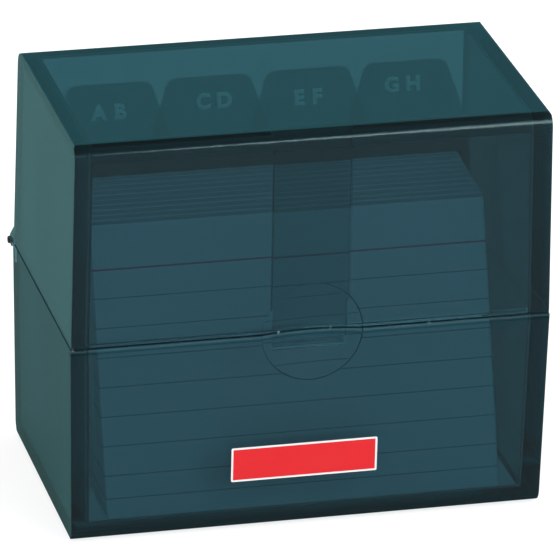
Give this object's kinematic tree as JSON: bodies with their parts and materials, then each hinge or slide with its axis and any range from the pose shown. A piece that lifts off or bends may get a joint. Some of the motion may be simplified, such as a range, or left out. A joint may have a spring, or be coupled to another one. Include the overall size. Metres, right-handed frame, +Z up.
{
  "type": "index card box",
  "caption": "Tinted clear index card box: deep base, hinged lid with a latch tongue and thumb dish, leaning ruled cards and tabbed alphabet dividers.",
  "frame": {"origin": "middle of the face that the box stands on", "axes": "+X across the width, +Y from the front to the hinge side, +Z up"},
  "size_m": [0.1266, 0.0801, 0.1086],
  "materials": {
    "tinted_plastic": "clear plastic tinted dark teal, polished",
    "label_print": "coated paper printed red with a white border",
    "pin_steel": "drawn wire",
    "card_paper": "white card with printed ruling",
    "divider_board": "dark plastic sheet with pale printed letters"
  },
  "bodies": {
    "base": {"base_shell": "tinted_plastic", "front_label": "label_print", "hinge_pin_left": "pin_steel", "hinge_pin_right": "pin_steel"},
    "lid": {"lid_shell": "tinted_plastic"},
    "cards_01_leaf": {"cards_01": "card_paper"},
    "cards_02_leaf": {"cards_02": "card_paper"},
    "cards_03_leaf": {"cards_03": "card_paper"},
    "cards_04_leaf": {"cards_04": "card_paper"},
    "cards_05_leaf": {"cards_05": "card_paper"},
    "cards_06_leaf": {"cards_06": "card_paper"},
    "cards_07_leaf": {"cards_07": "card_paper"},
    "cards_08_leaf": {"cards_08": "card_paper"},
    "cards_09_leaf": {"cards_09": "card_paper"},
    "cards_10_leaf": {"cards_10": "card_paper"},
    "divider_ab_leaf": {"divider_ab": "divider_board"},
    "divider_cd_leaf": {"divider_cd": "divider_board"},
    "divider_ef_leaf": {"divider_ef": "divider_board"},
    "divider_gh_leaf": {"divider_gh": "divider_board"}
  },
  "joints": [
    {"name": "lid_hinge", "type": "hinge", "parent": "base", "child": "lid", "pos_m": [0, 0.04035, 0.0532], "axis": [-1, 0, 0], "range_deg": [0, 105]},
    {"name": "leaf_fan", "type": "hinge", "parent": "base", "child": "cards_01_leaf", "pos_m": [0, -0.03, 0.00421], "axis": [1, 0, 0], "range_deg": [0, 16]},
    {"name": "cards_02_tip", "type": "hinge", "parent": "base", "child": "cards_02_leaf", "pos_m": [0, -0.02644, 0.00421], "axis": [1, 0, 0], "range_deg": [0, 15.2]},
    {"name": "cards_03_tip", "type": "hinge", "parent": "base", "child": "cards_03_leaf", "pos_m": [0, -0.0229, 0.00421], "axis": [1, 0, 0], "range_deg": [0, 14.4]},
    {"name": "cards_04_tip", "type": "hinge", "parent": "base", "child": "cards_04_leaf", "pos_m": [0, -0.01936, 0.00421], "axis": [1, 0, 0], "range_deg": [0, 13.6]},
    {"name": "cards_05_tip", "type": "hinge", "parent": "base", "child": "cards_05_leaf", "pos_m": [0, -0.01583, 0.00421], "axis": [1, 0, 0], "range_deg": [0, 12.8]},
    {"name": "cards_06_tip", "type": "hinge", "parent": "base", "child": "cards_06_leaf", "pos_m": [0, -0.0123, 0.00421], "axis": [1, 0, 0], "range_deg": [0, 12]},
    {"name": "cards_07_tip", "type": "hinge", "parent": "base", "child": "cards_07_leaf", "pos_m": [0, -0.00878, 0.00421], "axis": [1, 0, 0], "range_deg": [0, 11.2]},
    {"name": "cards_08_tip", "type": "hinge", "parent": "base", "child": "cards_08_leaf", "pos_m": [0, -0.00526, 0.00421], "axis": [1, 0, 0], "range_deg": [0, 10.4]},
    {"name": "cards_09_tip", "type": "hinge", "parent": "base", "child": "cards_09_leaf", "pos_m": [0, -0.00175, 0.00421], "axis": [1, 0, 0], "range_deg": [0, 9.6]},
    {"name": "cards_10_tip", "type": "hinge", "parent": "base", "child": "cards_10_leaf", "pos_m": [0, 0.00175, 0.00421], "axis": [1, 0, 0], "range_deg": [0, 8.8]},
    {"name": "divider_ab_tip", "type": "hinge", "parent": "base", "child": "divider_ab_leaf", "pos_m": [0, 0.0049, 0.00421], "axis": [1, 0, 0], "range_deg": [0, 8]},
    {"name": "divider_cd_tip", "type": "hinge", "parent": "base", "child": "divider_cd_leaf", "pos_m": [0, 0.00538, 0.00421], "axis": [1, 0, 0], "range_deg": [0, 7.2]},
    {"name": "divider_ef_tip", "type": "hinge", "parent": "base", "child": "divider_ef_leaf", "pos_m": [0, 0.00585, 0.00421], "axis": [1, 0, 0], "range_deg": [0, 6.4]},
    {"name": "divider_gh_tip", "type": "hinge", "parent": "base", "child": "divider_gh_leaf", "pos_m": [0, 0.00633, 0.00421], "axis": [1, 0, 0], "range_deg": [0, 5.6]}
  ],
  "couplings": [
    {"joint": "cards_02_tip", "follows": "leaf_fan", "ratio": 0.95},
    {"joint": "cards_03_tip", "follows": "leaf_fan", "ratio": 0.9},
    {"joint": "cards_04_tip", "follows": "leaf_fan", "ratio": 0.85},
    {"joint": "cards_05_tip", "follows": "leaf_fan", "ratio": 0.8},
    {"joint": "cards_06_tip", "follows": "leaf_fan", "ratio": 0.75},
    {"joint": "cards_07_tip", "follows": "leaf_fan", "ratio": 0.7},
    {"joint": "cards_08_tip", "follows": "leaf_fan", "ratio": 0.65},
    {"joint": "cards_09_tip", "follows": "leaf_fan", "ratio": 0.6},
    {"joint": "cards_10_tip", "follows": "leaf_fan", "ratio": 0.55},
    {"joint": "divider_ab_tip", "follows": "leaf_fan", "ratio": 0.5},
    {"joint": "divider_cd_tip", "follows": "leaf_fan", "ratio": 0.45},
    {"joint": "divider_ef_tip", "follows": "leaf_fan", "ratio": 0.4},
    {"joint": "divider_gh_tip", "follows": "leaf_fan", "ratio": 0.35}
  ]
}
